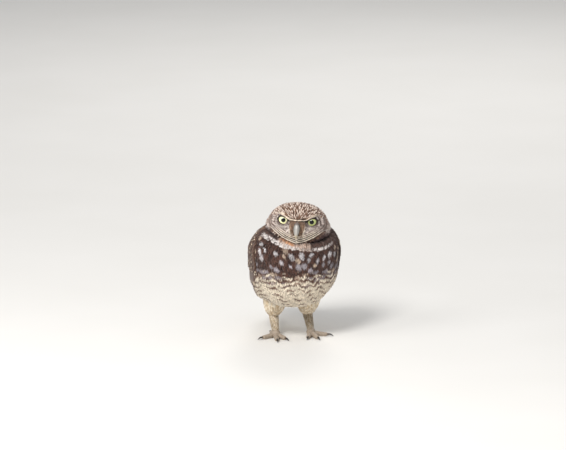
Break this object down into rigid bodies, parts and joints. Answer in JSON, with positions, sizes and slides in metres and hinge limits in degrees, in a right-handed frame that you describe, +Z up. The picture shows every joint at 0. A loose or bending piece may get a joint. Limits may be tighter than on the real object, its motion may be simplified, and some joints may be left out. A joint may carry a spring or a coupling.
{
  "type": "owl model",
  "caption": "Still life-size model of a burrowing owl, crouched with fluffed plumage on two long legs, head drawn down, yellow eyes under a frowning pale brow.",
  "frame": {"origin": "middle of the base of the box round the whole owl, on the floor it stands on", "axes": "+Z up, the owl's body faces -Y, its left wing is on +X"},
  "size_m": [0.1006, 0.1602, 0.1552],
  "materials": {
    "head_plumage": "soft barred feathers, matte",
    "body_plumage": "soft spotted feathers, matte",
    "flight_plumage": "flight feathers, matte",
    "leg_plumage": "short bristly feathers, matte",
    "toe_skin": "scaly skin, matte",
    "claw": "polished horn",
    "bill": "satin horn",
    "iris": "wet gloss",
    "pupil": "wet gloss"
  },
  "bodies": {
    "root": {"bill_lower": "bill", "bill_upper": "bill", "claw_hind_left": "claw", "claw_hind_right": "claw", "claw_inner_left": "claw", "claw_inner_right": "claw", "claw_middle_left": "claw", "claw_middle_right": "claw", "claw_outer_left": "claw", "claw_outer_right": "claw", "eye_left": "iris", "eye_right": "iris", "foot_left": "toe_skin", "foot_right": "toe_skin", "head": "head_plumage", "neck": "head_plumage", "pupil_left": "pupil", "pupil_right": "pupil", "shank_left": "leg_plumage", "shank_right": "leg_plumage", "tail": "flight_plumage", "thigh_left": "body_plumage", "thigh_right": "body_plumage", "torso": "body_plumage", "wing_left": "flight_plumage", "wing_right": "flight_plumage"}
  },
  "joints": []
}
